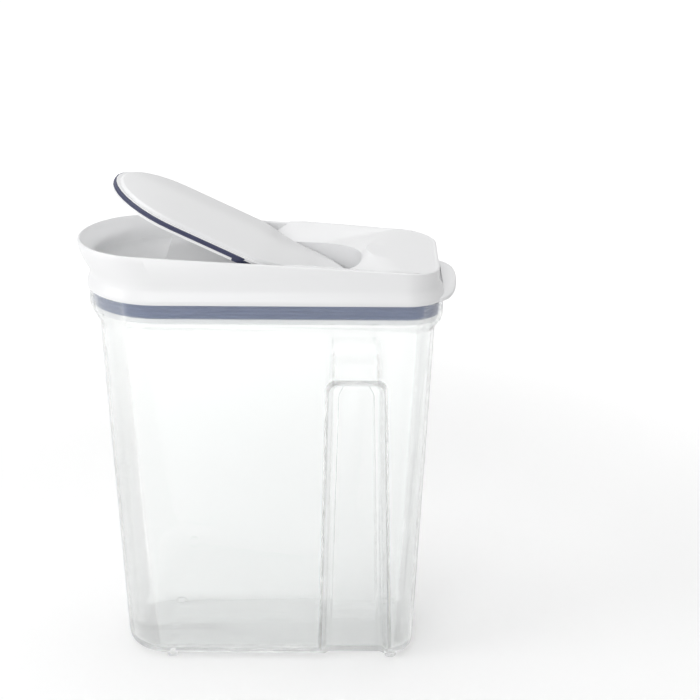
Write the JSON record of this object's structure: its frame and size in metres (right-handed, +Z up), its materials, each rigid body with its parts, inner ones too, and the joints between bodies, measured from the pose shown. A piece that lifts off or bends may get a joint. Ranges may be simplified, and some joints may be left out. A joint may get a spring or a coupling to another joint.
{
  "type": "cereal container",
  "caption": "Tall clear dry-food container with a plug-in lid, a see-saw flap over a pouring spout, a ribbed lid seal and grip recesses in the long walls.",
  "frame": {"origin": "middle of the object's footprint box, at the level of the feet's undersides", "axes": "+Z up; -X towards the pouring spout, +X towards the lift tab; Y across the narrow width; flap open at rest"},
  "size_m": [0.25, 0.102, 0.3347],
  "materials": {
    "clear_plastic": "clear, polished",
    "white_plastic": "satin gloss",
    "slate_silicone": "matt",
    "pin_steel": "drawn"
  },
  "bodies": {
    "container_body": {"container": "clear_plastic"},
    "lid": {"lid_shell": "white_plastic", "lid_base": "white_plastic", "lid_seal": "slate_silicone", "hinge_pin": "pin_steel"},
    "flap": {"flap_cover": "white_plastic", "flap_liner": "white_plastic", "flap_seal": "slate_silicone"}
  },
  "joints": [
    {"name": "lid_lift", "type": "slide", "parent": "container_body", "child": "lid", "axis": [0, 0, 1], "range_m": [0, 0.06]},
    {"name": "flap_hinge", "type": "hinge", "parent": "lid", "child": "flap", "pos_m": [0.0048, 0, 0.275], "axis": [0, 1, 0], "range_deg": [-25.5, 0]}
  ]
}
